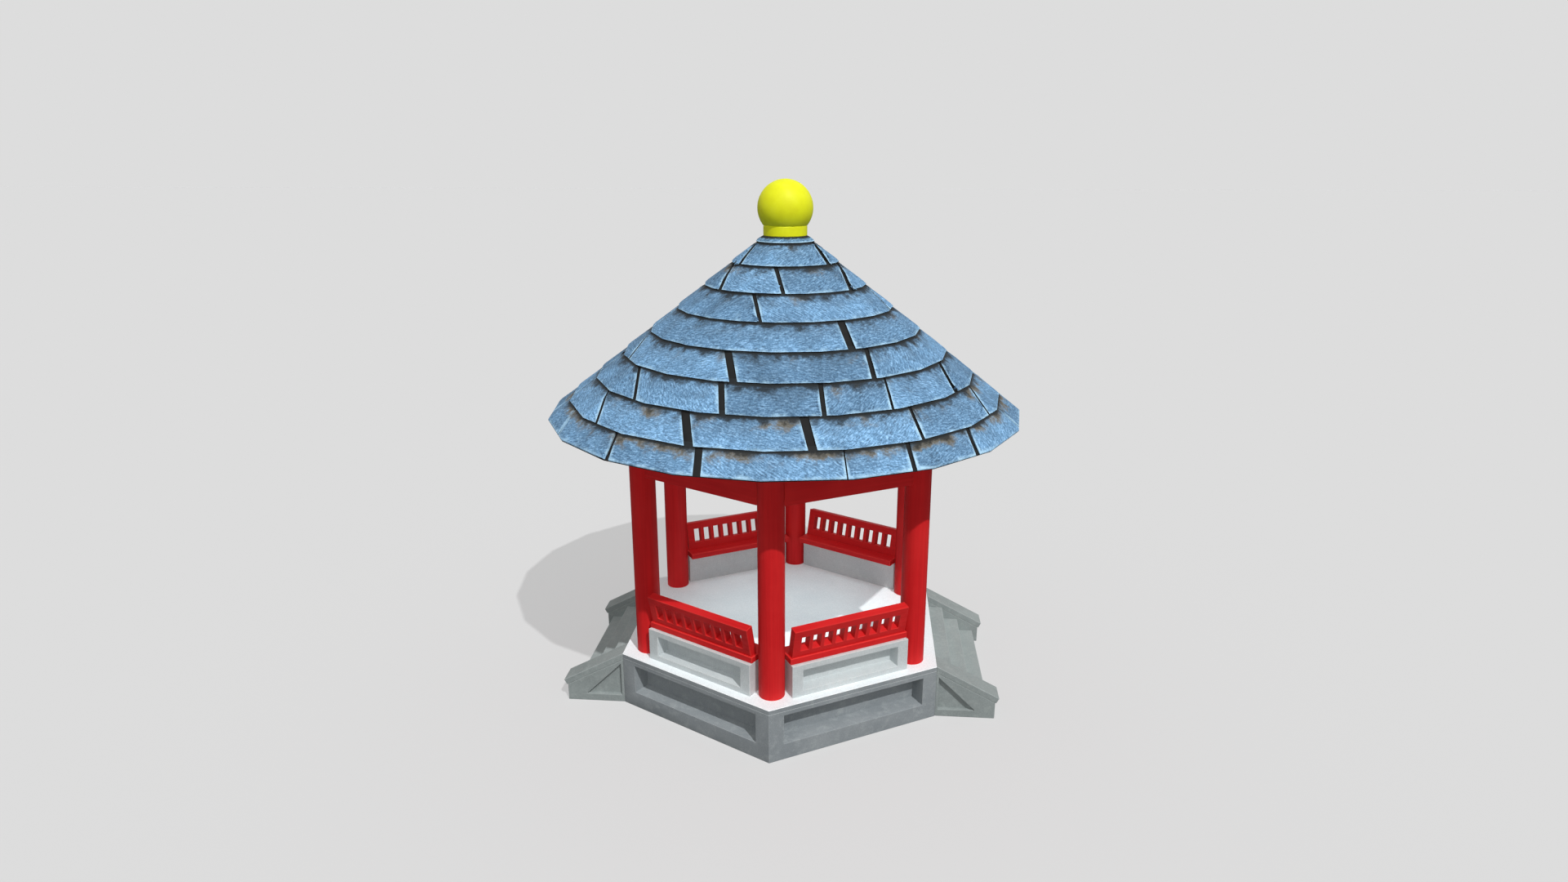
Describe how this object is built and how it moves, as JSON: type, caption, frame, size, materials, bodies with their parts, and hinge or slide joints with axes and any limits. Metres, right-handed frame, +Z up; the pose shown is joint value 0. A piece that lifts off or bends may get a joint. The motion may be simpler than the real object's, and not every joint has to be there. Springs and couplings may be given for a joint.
{
  "type": "garden summerhouse",
  "caption": "Open hexagonal garden pavilion: stone plinth with steps at both sides, round red columns, slotted benches and a steep slated roof with a ball finial.",
  "frame": {"origin": "on the ground at the middle of the plinth", "axes": "+Z up, -Y towards the front corner of the plinth, the steps at -X and +X"},
  "size_m": [5.66, 5.66, 6.252],
  "materials": {
    "grey_stone": "matte",
    "pale_stone": "matte",
    "red_timber": "painted satin",
    "slate_roof": "matte, slates on boards",
    "yellow_glaze": "gloss"
  },
  "bodies": {
    "root": {"plinth": "grey_stone", "floor_slab": "pale_stone", "right_step_low": "grey_stone", "right_step_mid": "grey_stone", "right_step_top": "grey_stone", "left_step_low": "grey_stone", "left_step_mid": "grey_stone", "left_step_top": "grey_stone", "right_front_cheek": "grey_stone", "right_back_cheek": "grey_stone", "left_front_cheek": "grey_stone", "left_back_cheek": "grey_stone", "right_front_coping": "grey_stone", "right_back_coping": "grey_stone", "left_front_coping": "grey_stone", "left_back_coping": "grey_stone", "front_column": "red_timber", "front_right_column": "red_timber", "back_right_column": "red_timber", "back_column": "red_timber", "back_left_column": "red_timber", "front_left_column": "red_timber", "front_right_bench_base": "pale_stone", "back_right_bench_base": "pale_stone", "back_left_bench_base": "pale_stone", "front_left_bench_base": "pale_stone", "front_right_seat": "red_timber", "back_right_seat": "red_timber", "back_left_seat": "red_timber", "front_left_seat": "red_timber", "front_right_backrest": "red_timber", "back_right_backrest": "red_timber", "back_left_backrest": "red_timber", "front_left_backrest": "red_timber", "front_right_lintel": "red_timber", "right_lintel": "red_timber", "back_right_lintel": "red_timber", "back_left_lintel": "red_timber", "left_lintel": "red_timber", "front_left_lintel": "red_timber", "ring_beam": "red_timber", "roof_soffit": "red_timber", "roof_shell": "slate_roof", "finial_collar": "yellow_glaze", "finial_ball": "yellow_glaze"}
  },
  "joints": []
}
